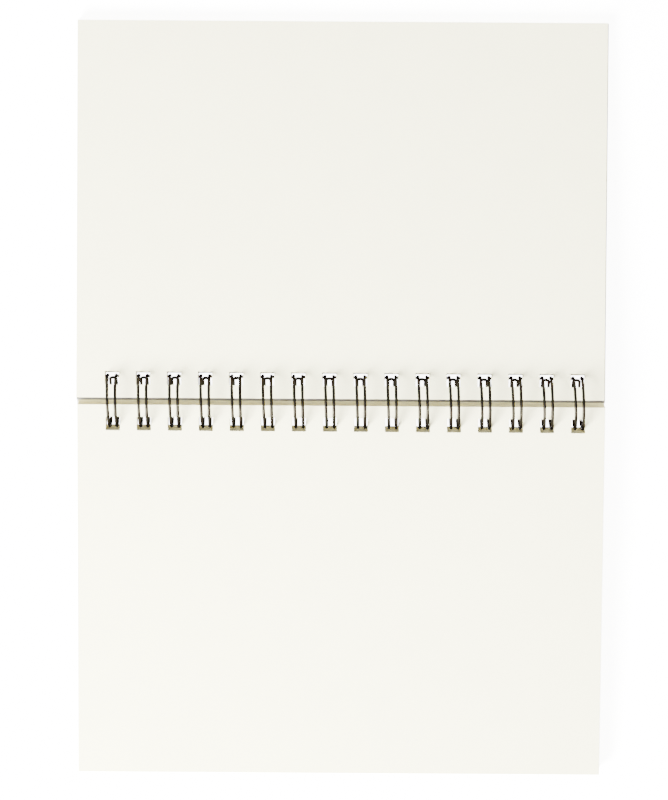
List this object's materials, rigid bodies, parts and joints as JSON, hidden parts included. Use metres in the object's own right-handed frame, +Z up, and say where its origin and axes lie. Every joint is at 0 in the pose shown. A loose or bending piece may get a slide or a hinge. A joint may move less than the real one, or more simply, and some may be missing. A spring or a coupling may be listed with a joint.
{
  "type": "sketchbook",
  "caption": "Wire-bound sketchbook lying open, with punched paper sheets, board covers and a twin-loop wire binding that lets every leaf turn right over.",
  "frame": {"origin": "on the table, under the middle of the binding and midway along the sheets", "axes": "+X along the binding, +Y towards the free edge of the front side, +Z up from the table"},
  "size_m": [0.2168, 0.31, 0.0221],
  "materials": {
    "paper": "matte",
    "board": "matte",
    "wire": "dark satin"
  },
  "bodies": {
    "rear_block": {"back_cover": "board", "sheet_30": "paper", "sheet_31": "paper", "sheet_32": "paper", "sheet_33": "paper", "sheet_34": "paper", "sheet_35": "paper", "sheet_36": "paper", "sheet_37": "paper", "sheet_38": "paper", "sheet_39": "paper", "sheet_40": "paper", "sheet_41": "paper", "sheet_42": "paper", "sheet_43": "paper", "sheet_44": "paper", "sheet_45": "paper", "sheet_46": "paper"},
    "binding": {"twin_loop_wire": "wire"},
    "opened_part": {"front_cover": "board", "sheet_01": "paper", "sheet_02": "paper", "sheet_03": "paper", "sheet_04": "paper", "sheet_05": "paper", "sheet_06": "paper", "sheet_07": "paper", "sheet_08": "paper", "sheet_09": "paper", "sheet_10": "paper", "sheet_11": "paper", "sheet_12": "paper", "sheet_13": "paper"},
    "far_leaf": {"sheet_14": "paper"},
    "turning_block": {"sheet_16": "paper", "sheet_17": "paper", "sheet_18": "paper", "sheet_19": "paper", "sheet_20": "paper", "sheet_21": "paper", "sheet_22": "paper", "sheet_23": "paper", "sheet_24": "paper", "sheet_25": "paper", "sheet_26": "paper", "sheet_27": "paper", "sheet_28": "paper", "sheet_29": "paper"},
    "near_leaf": {"sheet_15": "paper"}
  },
  "joints": [
    {"name": "front_turn", "type": "hinge", "parent": "rear_block", "child": "opened_part", "pos_m": [0, 0, 0.01328], "axis": [1, 0, 0], "range_deg": [0, 184.5]},
    {"name": "far_leaf_turn", "type": "hinge", "parent": "opened_part", "child": "far_leaf", "pos_m": [0, 0, 0.01328], "axis": [1, 0, 0], "range_deg": [0, 184.5]},
    {"name": "block_turn", "type": "hinge", "parent": "rear_block", "child": "turning_block", "pos_m": [0, 0, 0.01328], "axis": [1, 0, 0], "range_deg": [-184.5, 0]},
    {"name": "near_leaf_turn", "type": "hinge", "parent": "turning_block", "child": "near_leaf", "pos_m": [0, 0, 0.01328], "axis": [1, 0, 0], "range_deg": [-184.5, 0]},
    {"name": "wire_turn", "type": "hinge", "parent": "rear_block", "child": "binding", "pos_m": [0, 0, 0.01107], "axis": [1, 0, 0], "range_deg": [-75, 0]}
  ]
}
